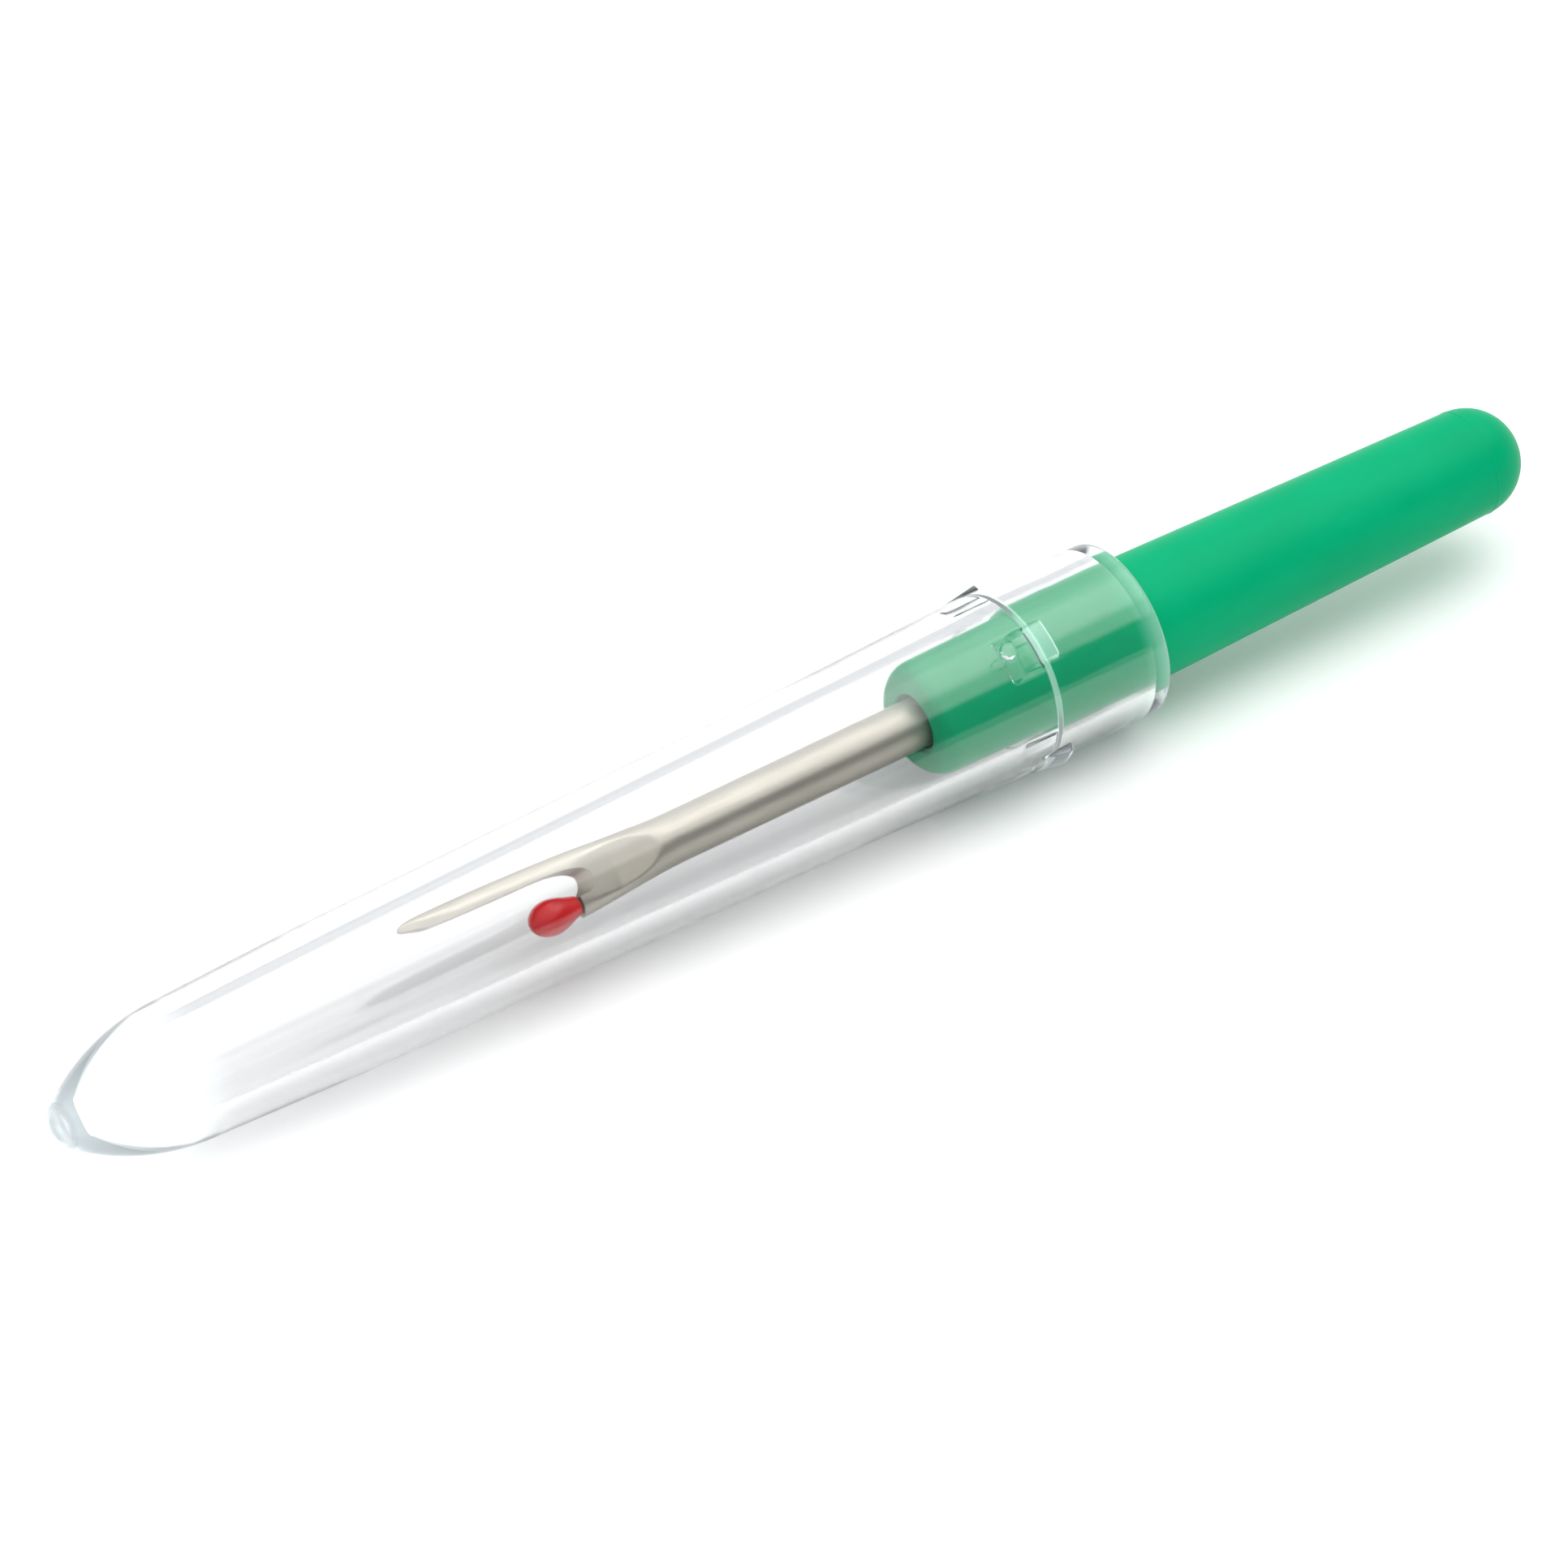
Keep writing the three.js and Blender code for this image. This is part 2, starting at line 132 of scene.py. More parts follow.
# Thickness of the oval section under the flats, as a share of its height
OVAL_AT = [20.45, 30, 32, 33.6, 35.2, SHANK_END]
OVAL_SHARE = [0.46, 0.46, 0.62, 0.84, 1, 1]
PIN_RADIUS, PIN_FRONT = 0.3, 28.25

# Ball
BALL_FRONT, BALL_WIDEST, BALL_BACK = 27.05, 28.2, 29.75
BALL_RADIUS, BALL_NECK, BALL_Y = 0.9, 0.5, -0.96
BALL_HOLE, BALL_HOLE_END = 0.375, 28.1
BALL_TAPER = 0.45  # how much of the ball's narrowing is even, and not round like its front

# ------------------------------------------------------------------ colours and light
HANDLE_GREENS = (0.0008, 0.355, 0.150, 1), (0.0012, 0.39, 0.170, 1)
HANDLE_RUBBED = (0.006, 0.40, 0.21, 1)
STEEL_TONES = (0.455, 0.43, 0.37, 1), (0.50, 0.475, 0.415, 1)
STEEL_DRAWN = (0.41, 0.385, 0.325, 1)
BALL_REDS = (0.52, 0.003, 0.005, 1), (0.64, 0.008, 0.010, 1)
CAP_TINTS = (0.962, 0.965, 0.968, 1), (0.975, 0.977, 0.979, 1)
CAP_PASSING = (0.995, 0.996, 0.996, 1)
# colour of the painted glow (emission) in the cap's plastic
PAINTED_GLOW_COLOUR = (0.80, 0.90, 0.94, 1)
FLOOR_GREY = (0.95, 0.95, 0.95, 1)

# Painted glow in the cap's plastic where it is thick or turns sharply: an emission that stands in for
# light held there. Lengths in millimetres
NOSE_GLOW, NOSE_GLOW_LENGTH = 0.38, 8
RIM_GLOW, RIM_GLOW_LENGTH = 0.14, 1.1
LUG_GLOW, LUG_GLOW_RADII = 0.2, (4.58, 4.70)
LEDGE_GLOW, LEDGE_INNER_RADII = 0.34, (3.50, 3.60)
LEDGE_BEFORE, LEDGE_AFTER = (-0.10, -0.02), (0.16, 0.24)
END_DISC, END_DISC_GLOW, END_DISC_FROST = (0.05, 0.3), 0.35, 0.65

# The room: each direction is towards the middle of its light, each edge is in degrees from it
SOFT_BOX, SOFT_BOX_EDGE = (0.47, -0.02, 0.88), (26, 14)
OPENING, OPENING_EDGE = (0.47, -0.85, 0.25), (50, 36)
HIGH_EDGE = (0.56, 0.66)
OPENING_LIGHT = (0.10, 0.11, 0.12, 1)
LOW_LIGHT = (0.80, 0.82, 0.84, 1)
HIGH_LIGHT = (1.55, 1.55, 1.55, 1)
BOX_LIGHT = (3.2, 3.2, 3.2, 1)

CAMERA_AZIMUTH = math.radians(-36.7)
CAMERA_ELEVATION = math.radians(37.65)
CAMERA_DISTANCE = 2.0
CAMERA_LENS = 959.0
CAMERA_AIM = (-0.00044, 0, 0.00439)


# ------------------------------------------------------------------ placing
def tool_matrix():
    """The tool's own frame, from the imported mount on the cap's end face."""
    mount = frame["record"]["mounts"][0]
    along = -Vector(mount["axis"]).normalized()
    across = Vector((0, 1, 0))
    matrix = Matrix((along, across, along.cross(across))).transposed().to_4x4()
    matrix.translation = Vector(mount["pos_m"])
    return matrix


TOOL = tool_matrix()


def piece(name, mesh, body, node, material, sharp_degrees=40):
    """A finished piece of the tool: it stands for one CAD node and rides on one CAD body."""
    mesh.materials.clear()
    mesh.materials.append(material)
    for polygon in mesh.polygons:
        polygon.use_smooth = True
    mesh.set_sharp_from_angle(angle=math.radians(sharp_degrees))
    mesh.transform(TOOL)
    obj = bpy.data.objects.new(name, mesh)
    scene.collection.objects.link(obj)
    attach(obj, body)
    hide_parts(node)
    return obj


# ------------------------------------------------------------------ profiles
def arc(centre_x, centre_r, size, start, end, steps):
    """Corners on a circular arc of a profile. Angles are from the +radius direction, in degrees."""
    angles = np.radians(np.linspace(start, end, steps + 1))
    return [(centre_x + size * math.sin(a), centre_r + size * math.cos(a), 0) for a in angles]


def ogive(end_radius, ring, steps=28):
    """An ogive from a blunt end up to a ring where it runs along the axis, without its first point."""
    centre = ring[1] - OGIVE_ARC
    sweep = math.degrees(math.acos((end_radius - centre) / OGIVE_ARC))
    return arc(ring[0], centre, OGIVE_ARC, -sweep, 0, steps)[1:]


def eased(corners, steps=5):
    """The points of a profile, with an arc in place of each corner that has a rounding."""
    flat = [np.array(c[:2], float) for c in corners]
    points = []
    for i, (here, corner) in enumerate(zip(flat, corners)):
        rounding = corner[2]
        if rounding == 0:
            points.append(here)
            continue
        back, on = flat[i - 1] - here, flat[i + 1] - here
        a, b = back / np.linalg.norm(back), on / np.linalg.norm(on)
        half = math.acos(max(-1, min(1, float(a @ b)))) / 2
        room = 0.45 * np.linalg.norm(back), 0.45 * np.linalg.norm(on)
        reach = min(rounding / math.tan(half), *room)
        size = reach * math.tan(half)
        middle = here + (a + b) / np.linalg.norm(a + b) * size / math.sin(half)
        first, last = here + a * reach - middle, here + b * reach - middle
        turn = math.pi - 2 * half
        for k in range(steps + 1):
            t = k / steps
            mixed = (math.sin((1 - t) * turn) * first + math.sin(t * turn) * last) / math.sin(turn)
            points.append(middle + mixed)
    return points


def supported(points, longest=1.0, edge=0.05):
    """Adds rings along the long runs of a profile, and close to both ends of each."""
    out = [points[0]]
    for a, b in zip(points, points[1:]):
        length = float(np.linalg.norm(b - a))
        shares = []
        if length > 6 * edge:
            count = max(1, math.ceil(length / longest))
            shares = [edge / length, *(k / count for k in range(1, count)), 1 - edge / length]
        out.extend(a + (b - a) * s for s in shares)
        out.append(b)
    return np.array(out)


def smoothstep(low, high, value):
    """Nought below low, one above high."""
    t = np.clip((value - low) / (high - low), 0, 1)
    return t * t * (3 - 2 * t)


# ------------------------------------------------------------------ meshes
def grid_mesh(name, rings, first, last):
    """A closed surface from rings of points, with a single point at each end. Millimetres in."""
    count, around, _ = rings.shape
    points = np.vstack([rings.reshape(-1, 3), [first, last]]) * MM
    i, j = np.meshgrid(np.arange(count - 1), np.arange(around), indexing="ij")
    nxt = (j + 1) % around
    here, ahead = i * around, (i + 1) * around
    quads = np.stack([here + j, here + nxt, ahead + nxt, ahead + j], -1)
    k = np.arange(around)
    turn = (k + 1) % around
    start, end = count * around, count * around + 1
    base = (count - 1) * around
    faces = quads.reshape(-1, 4).tolist()
    faces += np.stack([np.full(around, start), turn, k], -1).tolist()
    faces += np.stack([np.full(around, end), base + k, base + turn], -1).tolist()
    mesh = bpy.data.meshes.new(name)
    mesh.from_pydata(points.tolist(), [], faces)
    mesh.update()
    return mesh


def lathe_mesh(name, points, around, offset=(0.0, 0.0)):
    """A turned piece from a profile whose first and last points lie on its own axis."""
    profile = np.array(points)
    angles = np.linspace(0, FULL_TURN, around, endpoint=False)
    x = np.repeat(profile[1:-1, :1], around, 1)
    r = np.repeat(profile[1:-1, 1:], around, 1)
    rings = np.stack([x, r * np.cos(angles), r * np.sin(angles)], -1)
    shift = np.array((0, *offset))
    first, last = (np.array((profile[k][0], 0, 0)) + shift for k in (0, -1))
    return grid_mesh(name, rings + shift, first, last)


# ------------------------------------------------------------------ cap
def cap_profile():
    """From the tip along the outside to the rim, then back along the inside."""
    return supported(eased([
        (0, 0, 0),
        (0, CAP_END_RADIUS, CAP_END_ROUND),
        *ogive(CAP_END_RADIUS, NOSE_END),
        (*BODY_FRONT, FRONT_EASE),
        (*BODY_BACK, BACK_EASE),
        (*BODY_FLARE, FLARE_EASE),
        (*BODY_STEP, COLLAR_EASE),
        (COLLAR_FROM, COLLAR_RADIUS, COLLAR_EASE),
        (COLLAR_TO, COLLAR_RADIUS, RIM_ROUND),
        (COLLAR_TO, COLLAR_BORE + BORE_CHAMFER_RISE, BORE_CHAMFER_ROUND),
        (COLLAR_TO - BORE_CHAMFER_LENGTH, COLLAR_BORE, BORE_CHAMFER_ROUND),
        (CAVITY_LEDGE[0] + LEDGE_SLOPE, COLLAR_BORE, LEDGE_ROUND),
        (*CAVITY_LEDGE, LEDGE_ROUND),
        (*CAVITY_BACK, BACK_EASE),
        (*CAVITY_FRONT, FRONT_EASE),
        *reversed(ogive(CAVITY_END[1], CAVITY_NOSE)),
        (*CAVITY_END, CAVITY_END_ROUND),
        (CAVITY_END[0], 0, 0),
    ]))


def cap_angles(even=192, closest=0.004):
    """Angles round the cap, closer together at the sides of the lugs and over the gate mark."""
    angles = list(np.linspace(0, FULL_TURN, even, endpoint=False))
    for turn in LUG_TURNS:
        for side in (-1, 1):
            for edge in np.linspace(-LUG_SOFT, LUG_SOFT, 7):
                angles.append(turn + side * math.asin((LUG_WIDTH / 2 + edge) / BODY_STEP[1]))
    angles += list(GATE_TURN + np.linspace(-0.75, 0.75, 31) / GATE_TOP)
    angles = np.unique(np.round(np.mod(angles, FULL_TURN), 5))
    keep = [angles[0]]
    for angle in angles[1:]:
        if angle - keep[-1] > closest:
            keep.append(angle)
    return np.array(keep)


def with_rings(profile, outer, stations, wall_radius=2.9):
    """Puts further rings into the outer or inner wall of the cap's profile, at the stations."""
    rows = [(float(k), p) for k, p in enumerate(profile)]
    for x in stations:
        for k, (a, b) in enumerate(zip(profile, profile[1:])):
            on_this_wall = (b[0] > a[0]) == outer and min(a[1], b[1]) > wall_radius
            if on_this_wall and min(a[0], b[0]) < x < max(a[0], b[0]):
                share = (x - a[0]) / (b[0] - a[0])
                rows.append((k + share, a + (b - a) * share))
    rows.sort(key=lambda row: row[0])
    return np.array([p for _, p in rows])


def lug_share(radius, angles):
    """One over the four grip lugs, nought between them."""
    share = np.zeros_like(radius)
    for turn in LUG_TURNS:
        off = np.abs(radius * np.sin(angles - turn))
        facing = np.cos(angles - turn) > 0
        soft = smoothstep(LUG_WIDTH / 2 - LUG_SOFT, LUG_WIDTH / 2 + LUG_SOFT, off)
        share = np.maximum(share, facing * (1 - soft))
    return share


def gate_marked(radius, x, angles):
    """The radius of the outer wall with the gate mark, a low disc in a shallow moat."""
    distance = np.hypot(radius * np.sin(angles - GATE_TURN), x - GATE_AT)
    disc = 1 - smoothstep(GATE_RADIUS - GATE_SOFT, GATE_RADIUS + GATE_SOFT, distance)
    moat = smoothstep(MOAT_FROM, MOAT_FROM + 0.05, distance)
    moat *= 1 - smoothstep(MOAT_TO - MOAT_EDGE, MOAT_TO, distance)
    return radius + disc * (GATE_TOP - radius) - MOAT_DEPTH * moat


def cap_mesh():
    # further rings where the lugs, the gate mark and the pads begin, end and curve
    lug_rows = [LUG_FROM, *np.linspace(LUG_FROM + 0.1, LUG_TO - 0.02, 8), LUG_TO, LUG_TO + 0.025]
    gate_rows = list(GATE_AT + np.linspace(-0.7, 0.7, 29) + 0.003)
    pad_rows = [PAD_FROM - 0.06, PAD_FROM, 55.2, 55.8, PAD_TO - 0.02]
    profile = with_rings(cap_profile(), True, sorted(lug_rows + gate_rows))
    profile = with_rings(profile, False, pad_rows)
    profile[:, 1] *= SMOOTH_ROUND
    angles = cap_angles()
    x = np.repeat(profile[1:-1, :1], len(angles), 1)
    radius = np.repeat(profile[1:-1, 1:], len(angles), 1)
    # a ring belongs to the outside if it comes before the rim
    outside = (np.arange(len(x)) < int(np.argmax(profile[:, 0])))[:, None]
    lug = lug_share(radius, angles)
    on_lug = outside & (x >= LUG_FROM) & (x <= LUG_TO + 0.005)
    ramp = BODY_FLARE[1] + (LUG_OUTER - BODY_FLARE[1]) * (x - LUG_FROM) / (LUG_TO - LUG_FROM)
    radius = np.where(on_lug, radius + lug * np.maximum(ramp - radius, 0), radius)
    on_pad = ~outside & (x >= PAD_FROM - 0.01) & (x <= PAD_TO)
    radius = np.where(on_pad, radius + lug * (PAD_INNER - radius), radius)
    near_gate = outside & (np.cos(angles - GATE_TURN) > 0)
    radius = np.where(near_gate, gate_marked(radius, x, angles), radius)
    rings = np.stack([x, radius * np.cos(angles), radius * np.sin(angles)], -1)
    return grid_mesh("cap_shell", rings, (profile[0][0], 0, 0), (profile[-1][0], 0, 0))


# ------------------------------------------------------------------ handle
def handle_mesh():
    """From the bottom of the shank's hole out over the nose and back to the tail."""
    corners = [
        (SHANK_HOLE_END, 0, 0),
        (SHANK_HOLE_END, SHANK_HOLE_RADIUS, 0.1),
        (NOSE_FACE[0] + MOUTH_DEPTH, SHANK_HOLE_RADIUS, 0.05),
        (NOSE_FACE[0] + MOUTH_DEPTH, MOUTH_RADIUS, 0.05),
        (NOSE_FACE[0], MOUTH_RADIUS, MOUTH_ROUND),
        (*NOSE_FACE, NOSE_ROUND),
        (*NOSE_BACK, 0.04),
        (*SHOULDER, 0.06),
        (*WIDEST, WIDEST_EASE),
        *((DOME[0] + along, DOME[1] + proud, 0) for along, proud in WITNESS_LINE),
        *arc(DOME[0], 0, DOME[1], 4, 90, 26),
    ]
    return lathe_mesh("handle_body", supported(eased(corners)), 160)


# ------------------------------------------------------------------ blade
def curve(points, steps):
    """A Bezier curve with any number of control points."""
    t = np.linspace(0, 1, steps + 1)[:, None]
    points = [np.array(p, float) for p in points]
    while len(points) > 1:
        points = [a + (b - a) * t for a, b in zip(points, points[1:])]
    return points[0]


def blade_height(x):
    """Half the height of the blade before the gap is cut: the line of the long point's back."""
    shank = [(SHANK_FROM, SHANK_RADIUS), (SHANK_END, SHANK_RADIUS)]
    back = np.vstack([curve(POINT_BACK, 24), curve(LONG_BACK, 16), curve(HEAD_BACK, 12), shank])
    return np.interp(x, back[:, 0], back[:, 1])


def smooth_min(a, b, width):
    """The smaller of two values, blended where they are within the width of each other."""
    mix = np.clip(0.5 + 0.5 * (b - a) / width, 0, 1)
    return b + (a - b) * mix - width * mix * (1 - mix)


def blade_bar(around=144):
    """The wire and its flattened head, before the gap between the prongs is cut."""
    quarter = np.linspace(0, math.pi / 2, 6)
    # rings crowd together at the point and at the shank's rounded end
    stations = np.concatenate([
        POINT_AT + 0.3 * np.linspace(0, 1, 9) ** 2,
        np.linspace(20.85, SHANK_FROM, 156),
        np.linspace(SHANK_FROM + 0.6, SHANK_END - 0.45, 30),
        SHANK_END - SHANK_END_LENGTH + SHANK_END_LENGTH * np.sin(quarter),
    ])
    shrink = np.ones_like(stations)
    shrink[-6:] = 1 - SHANK_END_DROP * (1 - np.cos(quarter))
    phi = np.linspace(0, FULL_TURN, around, endpoint=False)
    height = (blade_height(stations) * shrink)[:, None]
    oval = np.interp(stations, OVAL_AT, OVAL_SHARE)[:, None]
    flat = np.interp(stations, FLAT_AT, FLAT_HALF)[:, None] * shrink[:, None]
    full = oval * height * np.abs(np.sin(phi))
    z = np.sign(np.sin(phi)) * smooth_min(full, flat, FLAT_EDGE)
    z = np.where(full < 1e-6, 0, z)
    x = np.repeat(stations[:, None], around, 1)
    rings = np.stack([x, height * np.cos(phi), z], -1)
    return grid_mesh("forked_blade_metal", rings, (stations[0], 0, 0), (stations[-1], 0, 0))


def gap_cutter():
    """What is cut from between the prongs, with a bevel to a sharp edge round the throat."""
    below = np.array([
        (CUTTER_FRONT, -CUTTER_SIDE),
        (PRONG_FACE, -CUTTER_SIDE),
        (PRONG_FACE, THROAT_LOWER[0][1] - 0.02),
    ])
    throat = np.vstack([curve(THROAT_LOWER, 10), curve(THROAT_UPPER, 20)[1:]])
    above = np.vstack([
        curve(LONG_EDGE, 12)[1:],
        curve(POINT_UNDER, 4),
        [(POINT_UNDER[-1][0] - 0.1, CUTTER_SIDE), (CUTTER_FRONT, CUTTER_SIDE)],
    ])
    outline = np.vstack([below, throat, above])
    # how far the bevel leans at each point: fully in the throat, fading out along the long point
    lean = np.zeros(len(outline))
    lean[len(below):len(below) + len(throat)] = 1
    lean[len(below) + len(throat):-2] = np.linspace(1, 0, len(above) - 2)
    points = [
        (x + THROAT_SLOPE * abs(z) * share, y, z)
        for z in (-CUTTER_HALF, 0.0, CUTTER_HALF)
        for (x, y), share in zip(outline, lean)
    ]
    around = len(outline)
    mesh = bmesh.new()
    verts = [mesh.verts.new(np.array(p) * MM) for p in points]
    for a, b in ((0, around), (around, 2 * around)):
        for k in range(around):
            n = (k + 1) % around
            mesh.faces.new((verts[a + k], verts[a + n], verts[b + n], verts[b + k]))
    mesh.faces.new([verts[k] for k in reversed(range(around))])
    mesh.faces.new([verts[2 * around + k] for k in range(around)])
    bmesh.ops.triangulate(mesh, faces=mesh.faces[:])
    bmesh.ops.recalc_face_normals(mesh, faces=mesh.faces[:])
    data = bpy.data.meshes.new("gap_cutter")
    mesh.to_mesh(data)
    mesh.free()
    return data


def cut(mesh, tool_mesh, operation):
    """Applies one boolean to a mesh and gives the result."""
    body = bpy.data.objects.new("cut_body", mesh)
    tool = bpy.data.objects.new("cut_tool", tool_mesh)
    for obj in (body, tool):
        scene.collection.objects.link(obj)
    change = body.modifiers.new("cut", "BOOLEAN")
    change.operation = operation
    change.object = tool
    change.solver = "EXACT"
    depsgraph = bpy.context.evaluated_depsgraph_get()
    done = bpy.data.meshes.new_from_object(body.evaluated_get(depsgraph))
    for obj in (body, tool):
        bpy.data.objects.remove(obj)
    return done


def pin_mesh():
    """The thin end of the short prong, inside the ball, with the cone that leads to it."""
    corners = [
        (PIN_FRONT, 0, 0),
        (PIN_FRONT, PIN_RADIUS, 0.08),
        (PRONG_FACE - 0.02, PIN_RADIUS, 0),
        (PRONG_FACE + 0.4, PIN_RADIUS + 0.1, 0),
        (PRONG_FACE + 0.6, 0, 0),
    ]
    return lathe_mesh("prong_pin", supported(eased(corners)), 32, (BALL_Y, 0))


def blade_mesh():
    metal = cut(blade_bar(), gap_cutter(), "DIFFERENCE")
    metal = cut(metal, pin_mesh(), "UNION")
    metal.name = "forked_blade_metal"
    metal.transform(Matrix.Rotation(BLADE_ROLL, 4, "X"))
    return metal


# ------------------------------------------------------------------ ball
def ball_mesh():
    """An egg whose narrow end is towards the shank, with the blind hole for the prong."""
    corners = []
    for t in np.linspace(0, math.pi / 2, 28):
        x = BALL_WIDEST - (BALL_WIDEST - BALL_FRONT) * math.cos(t)
        corners.append((x, BALL_RADIUS * math.sin(t), 0))
    for t in np.linspace(0, 1, 26)[1:-1]:
        round_off = math.sin(t * math.pi / 2) ** 2
        narrowing = BALL_TAPER * t ** 2 + (1 - BALL_TAPER) * round_off
        radius = BALL_RADIUS - (BALL_RADIUS - BALL_NECK) * narrowing
        corners.append((BALL_WIDEST + (BALL_BACK - BALL_WIDEST) * t, radius, 0))
    corners += [
        (BALL_BACK, BALL_NECK, 0.03),
        (BALL_BACK, BALL_HOLE, 0.02),
        (BALL_HOLE_END, BALL_HOLE, 0.05),
        (BALL_HOLE_END, 0, 0),
    ]
    mesh = lathe_mesh("ball_tip_moulding", eased(corners), 96, (BALL_Y, 0))
    mesh.transform(Matrix.Rotation(BLADE_ROLL, 4, "X"))
    return mesh


# ------------------------------------------------------------------ node trees
class Tree:
    """A node tree, with short ways to add and join its nodes."""

    def __init__(self, owner):
        owner.use_nodes = True
        self.nodes = owner.node_tree.nodes
        self.links = owner.node_tree.links

    def add(self, kind, **values):
        node = self.nodes.new("ShaderNode" + kind)
        for key, value in values.items():
            if key in node.inputs:
                self.put(node.inputs[key], value)
            else:
                setattr(node, key, value)
        return node

    def put(self, socket, value):
        if isinstance(value, bpy.types.NodeSocket):
            self.links.new(value, socket)
        else:
            socket.default_value = value

    def between(self, value, low, high, from_low=0.3, from_high=0.7, shape="LINEAR"):
        """Low where the value is at from_low, high where it is at from_high."""
        node = self.add("MapRange", Value=value, interpolation_type=shape)
        ends = {"From Min": from_low, "From Max": from_high, "To Min": low, "To Max": high}
        for key, number in ends.items():
            node.inputs[key].default_value = number
        return node.outputs["Result"]

    def blend(self, factor, a, b):
        node = self.add("Mix", data_type="RGBA")
        for index, value in ((0, factor), (6, a), (7, b)):
            self.put(node.inputs[index], value)
        return node.outputs[2]

    def arithmetic(self, operation, a, b):
        node = self.add("Math", operation=operation)
        self.put(node.inputs[0], a)
        self.put(node.inputs[1], b)
        return node.outputs["Value"]

    def plus(self, a, b):
        return self.arithmetic("ADD", a, b)

    def times(self, a, b):
        return self.arithmetic("MULTIPLY", a, b)

    def vector(self, operation, a, b, output="Vector"):
        node = self.add("VectorMath", operation=operation)
        self.put(node.inputs[0], a)
        self.put(node.inputs[1], b)
        return node.outputs[output]


class Looks(Tree):
    """The node tree of a material, round its Principled shader."""

    def __init__(self, name):
        self.material = bpy.data.materials.new(name)
        super().__init__(self.material)
        self.shader = self.nodes["Principled BSDF"]
        self.output = self.nodes["Material Output"]
        self.place = self.nodes.new("ShaderNodeTexCoord").outputs["Object"]

    def set(self, **values):
        for key, value in values.items():
            self.put(self.shader.inputs[key.replace("_", " ")], value)

    def noise(self, scale, detail=2.0, roughness=0.5):
        """Noise with a size of its own along each axis, in repeats per metre."""
        place = self.add("Mapping", Vector=self.place, Scale=scale).outputs["Vector"]
        node = self.add("TexNoise", Vector=place, Scale=1.0, Detail=detail, Roughness=roughness)
        return node.outputs["Fac"]

    def bumped(self, height, strength, distance, normal=None):
        node = self.add("Bump", Height=height, Strength=strength, Distance=distance)
        if normal is not None:
            self.put(node.inputs["Normal"], normal)
        return node.outputs["Normal"]


# ------------------------------------------------------------------ materials
def green_plastic():
    """Satin moulded plastic, a little cloudy, with fine rub marks along the handle."""
    looks = Looks("handle_green_plastic")
    cloud = looks.noise((180, 420, 420), 3)
    speck = looks.noise((5200, 5200, 5200), 2)
    rub = looks.noise((260, 3600, 3600), 3, 0.6)
    tone = looks.blend(looks.between(cloud, 0, 1), *HANDLE_GREENS)
    grain = looks.bumped(speck, 0.10, 0.00002)
    looks.set(
        Base_Color=looks.blend(looks.between(rub, 0, 0.08, 0.55, 0.75), tone, HANDLE_RUBBED),
        Roughness=looks.between(cloud, 0.34, 0.44),
        IOR=1.49,
        Specular_IOR_Level=0.05,
        Normal=looks.bumped(rub, 0.08, 0.00002, grain),
    )
    return looks.material


def blade_steel():
    """Satin nickel plate over wire, with the streaks of its drawing along it."""
    looks = Looks("blade_nickel_steel")
    drawn = looks.noise((160, 5200, 5200), 4, 0.6)
    patch = looks.noise((220, 300, 300), 2)
    pits = looks.noise((6500, 6500, 6500), 2)
    tone = looks.blend(looks.between(patch, 0, 1), *STEEL_TONES)
    grain = looks.bumped(drawn, 0.05, 0.000012)
    looks.set(
        Base_Color=looks.blend(looks.between(drawn, 0, 0.25), tone, STEEL_DRAWN),
        Metallic=1.0,
        Roughness=looks.between(drawn, 0.42, 0.50),
        Normal=looks.bumped(pits, 0.05, 0.00001, grain),
    )
    return looks.material


def red_plastic():
    """Glossy plastic that lets a little light into itself."""
    looks = Looks("ball_red_plastic")
    swirl = looks.noise((700, 900, 900), 3)
    fine = looks.noise((4200, 4200, 4200), 2)
    looks.set(
        Base_Color=looks.blend(looks.between(swirl, 0, 1), *BALL_REDS),
        Roughness=looks.between(swirl, 0.14, 0.26),
        IOR=1.49,
        Subsurface_Weight=0.15,
        Subsurface_Radius=(0.0006, 0.0001, 0.0001),
        Subsurface_Scale=1.0,
        Specular_IOR_Level=0.42,
        Normal=looks.bumped(fine, 0.08, 0.00003),
    )
    return looks.material


def painted_glow_strength(looks, station, radius, ledge_x):
    """How strongly the cap glows with painted light, an emission that stands in for light held in its
    thick plastic: at its nose, rim, lugs and ledge.
    """
    tip = cad_box[0][0]

    def along(low, high, start, end):
        """From low to high between two stations, in millimetres from the tip."""
        return looks.between(station, low, high, tip + start * MM, tip + end * MM)

    def near_ledge(low, high, span):
        return looks.between(station, low, high, ledge_x + span[0] * MM, ledge_x + span[1] * MM)

    def outwards(low, high, radii):
        return looks.between(radius, low, high, radii[0] * MM, radii[1] * MM)

    # painted glow: emission masks at the nose, rim, lugs and ledge, added together
    nose = looks.times(along(NOSE_GLOW, 0, 0, NOSE_GLOW_LENGTH), along(END_DISC_GLOW, 1, *END_DISC))
    rim = along(0, RIM_GLOW, COLLAR_TO - RIM_GLOW_LENGTH, COLLAR_TO)
    lugs = outwards(0, LUG_GLOW, LUG_GLOW_RADII)
    inner_wall = looks.times(outwards(1, 0, LEDGE_INNER_RADII), near_ledge(0, 1, LEDGE_BEFORE))
    ledge = looks.times(inner_wall, looks.times(near_ledge(1, 0, LEDGE_AFTER), LEDGE_GLOW))
    return looks.plus(looks.plus(nose, rim), looks.plus(lugs, ledge))


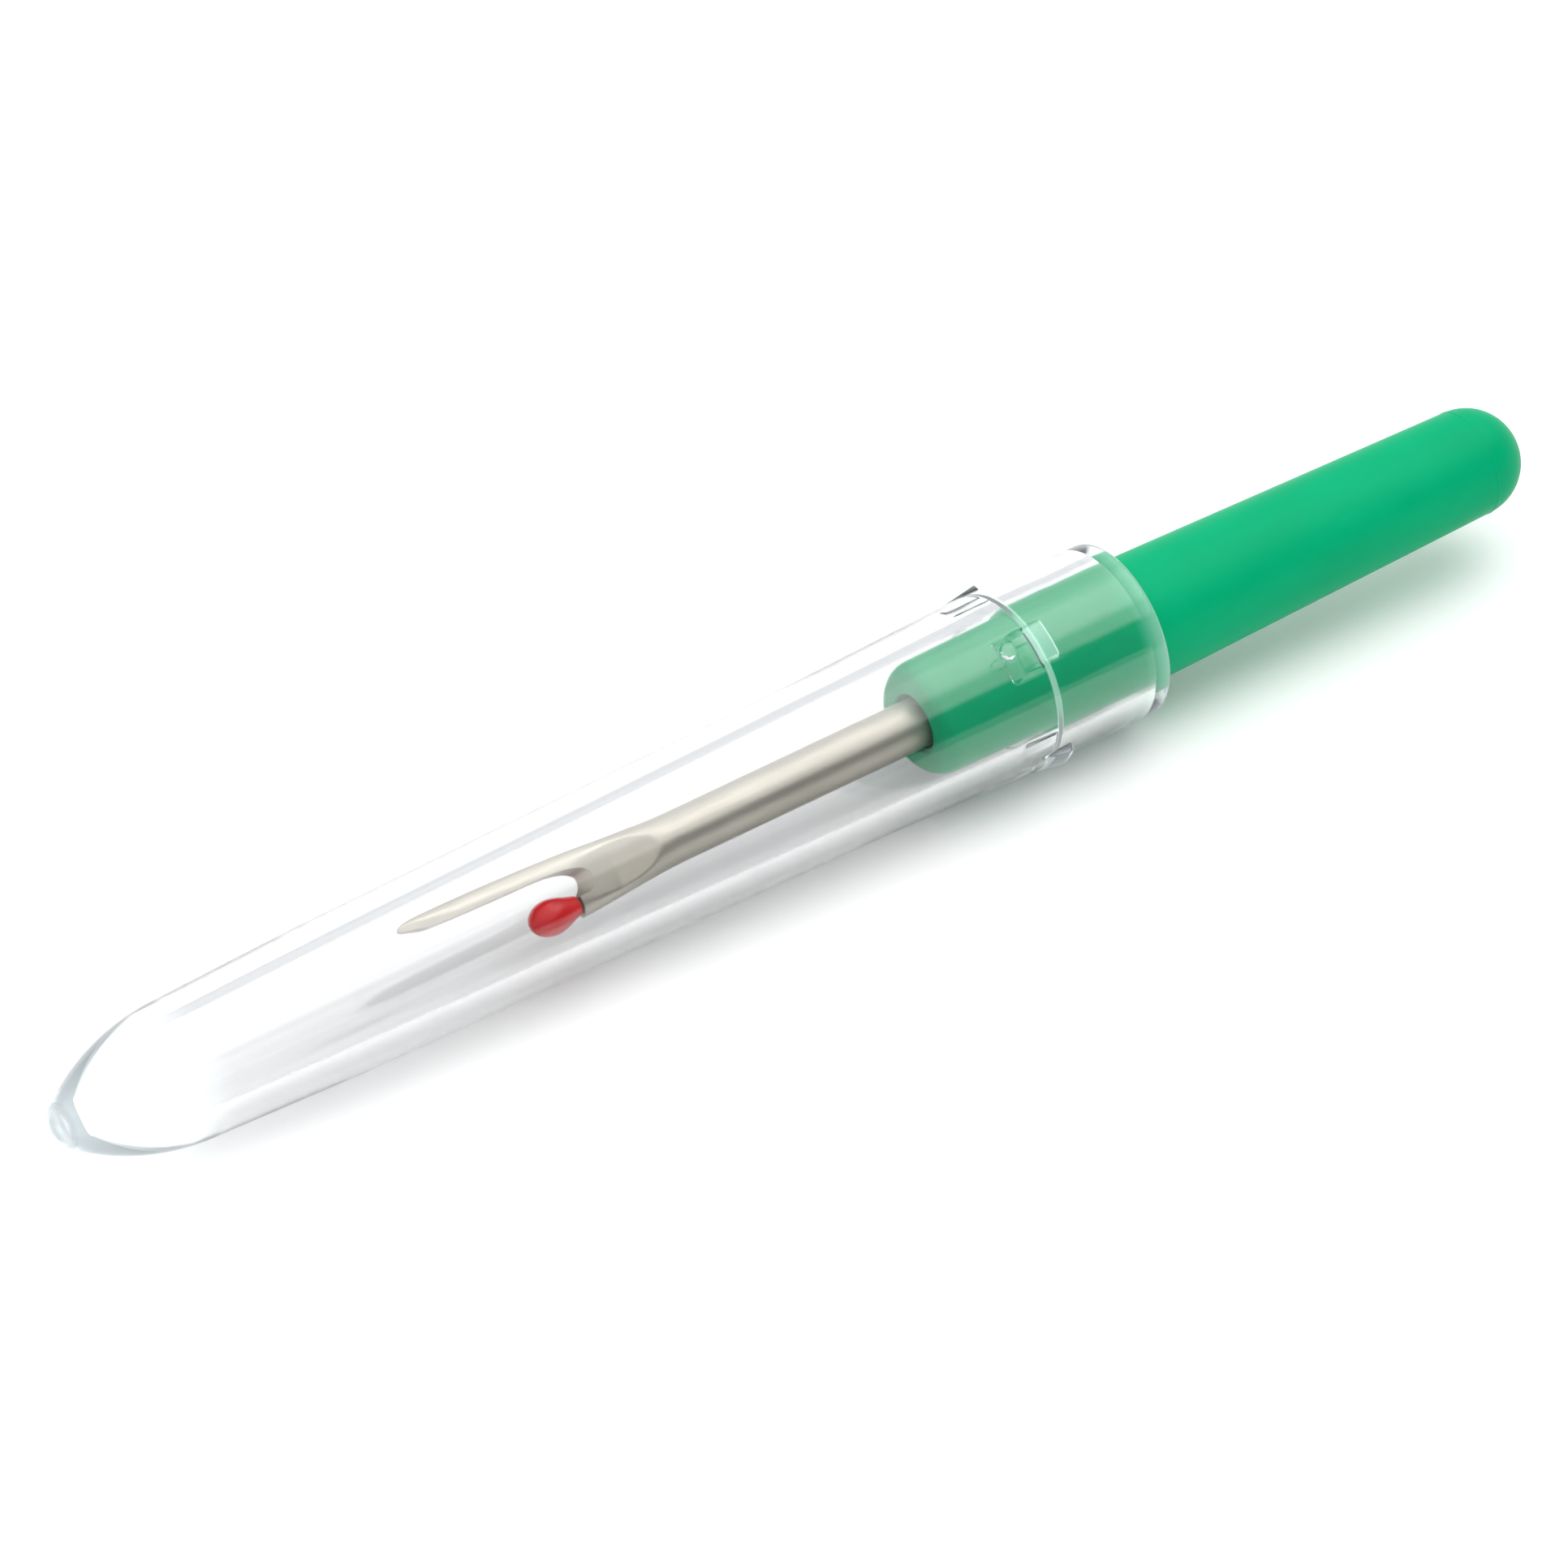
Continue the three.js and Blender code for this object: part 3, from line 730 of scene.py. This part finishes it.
def clear_plastic():
    """Clear plastic that lets light through to what is inside it, with faint flow marks and scuffs,
    and a painted glow (emission) at its nose, rim, lugs and ledge.

    The small flat disc at its tip is frosted."""
    looks = Looks("cap_clear_plastic")
    flow = looks.noise((90, 260, 260), 2)
    scuff = looks.noise((500, 5200, 5200), 3, 0.6)
    station = looks.add("SeparateXYZ", Vector=looks.place).outputs["X"]
    ledge = TOOL @ Vector((CAVITY_LEDGE[0] * MM, 0, 0))
    across = looks.vector("MULTIPLY", looks.place, (0, 1, 1))
    radius = looks.vector("DISTANCE", across, (0, 0, ledge.z), "Value")
    tip = cad_box[0][0]
    frost = looks.between(station, END_DISC_FROST, 0, tip + END_DISC[0] * MM, tip + END_DISC[1] * MM)
    looks.set(
        Base_Color=looks.blend(looks.between(flow, 0, 1), *CAP_TINTS),
        Roughness=looks.plus(looks.between(scuff, 0.06, 0.12, 0.45, 0.8), frost),
        IOR=1.5,
        Transmission_Weight=1.0,
        # painted glow: emission where the plastic is thick or turns sharply, standing in for light
        # held there
        Emission_Color=PAINTED_GLOW_COLOUR,
        Emission_Strength=painted_glow_strength(looks, station, radius, ledge.x),
        Normal=looks.bumped(flow, 0.025, 0.0001, looks.bumped(scuff, 0.01, 0.00001)),
    )
    # rays from the lights go straight through, so that the cap does not shade what it holds
    shadow = looks.add("LightPath").outputs["Is Shadow Ray"]
    passing = looks.add("BsdfTransparent", Color=CAP_PASSING)
    mixed = looks.add("MixShader")
    for socket, value in zip(mixed.inputs, (shadow, looks.shader.outputs[0], passing.outputs[0])):
        looks.put(socket, value)
    looks.put(looks.output.inputs["Surface"], mixed.outputs[0])
    return looks.material


# ------------------------------------------------------------------ studio
def studio_world():
    """A white room with a soft box overhead and a dark opening to the front, down to the floor."""
    world = bpy.data.worlds.new("studio")
    tree = Tree(world)
    scene.world = world
    place = tree.add("TexCoord").outputs["Generated"]
    height = tree.add("SeparateXYZ", Vector=place).outputs["Z"]

    def lobe(direction, edge):
        """One at the middle of a round patch of the room, nought outside its soft edge."""
        cosine = tree.vector("DOT_PRODUCT", place, Vector(direction).normalized(), "Value")
        outer, inner = (math.cos(math.radians(angle)) for angle in edge)
        return tree.between(cosine, 0, 1, outer, inner, "SMOOTHSTEP")

    low = tree.blend(lobe(OPENING, OPENING_EDGE), LOW_LIGHT, OPENING_LIGHT)
    high = tree.between(height, 0, 1, *HIGH_EDGE, "SMOOTHSTEP")
    room = tree.blend(high, low, HIGH_LIGHT)
    light = tree.blend(lobe(SOFT_BOX, SOFT_BOX_EDGE), room, BOX_LIGHT)
    tree.put(tree.nodes["Background"].inputs["Color"], light)


def floor():
    mesh = bmesh.new()
    bmesh.ops.create_circle(mesh, cap_ends=True, segments=96, radius=3.0)
    data = bpy.data.meshes.new("floor")
    mesh.to_mesh(data)
    mesh.free()
    obj = bpy.data.objects.new("floor", data)
    scene.collection.objects.link(obj)
    looks = Looks("pale_floor")
    looks.set(
        Base_Color=FLOOR_GREY,
        Roughness=looks.between(looks.noise((400, 400, 400)), 0.7, 0.8),
        Specular_IOR_Level=0.2,
    )
    data.materials.append(looks.material)


def camera():
    """A long lens that looks down on the tool from its front left."""
    data = bpy.data.cameras.new("camera")
    data.lens = CAMERA_LENS
    data.sensor_width = 36
    data.clip_start = 0.1
    data.clip_end = 20
    obj = bpy.data.objects.new("camera", data)
    scene.collection.objects.link(obj)
    flat = math.cos(CAMERA_ELEVATION)
    back = Vector((
        math.sin(CAMERA_AZIMUTH) * flat,
        -math.cos(CAMERA_AZIMUTH) * flat,
        math.sin(CAMERA_ELEVATION),
    ))
    obj.location = Vector(CAMERA_AIM) + back * CAMERA_DISTANCE
    obj.rotation_mode = "QUATERNION"
    obj.rotation_quaternion = (-back).to_track_quat("-Z", "Y")
    scene.camera = obj


# ------------------------------------------------------------------ the scene
piece("handle_body", handle_mesh(), "grip", "handle", green_plastic())
piece("forked_blade_metal", blade_mesh(), "grip", "forked_blade", blade_steel(), 32)
piece("ball_tip_moulding", ball_mesh(), "grip", "ball_tip", red_plastic())
piece("cap_shell", cap_mesh(), "cap", "cap", clear_plastic(), 35)
studio_world()
floor()
camera()
scene.view_settings.view_transform = "Standard"
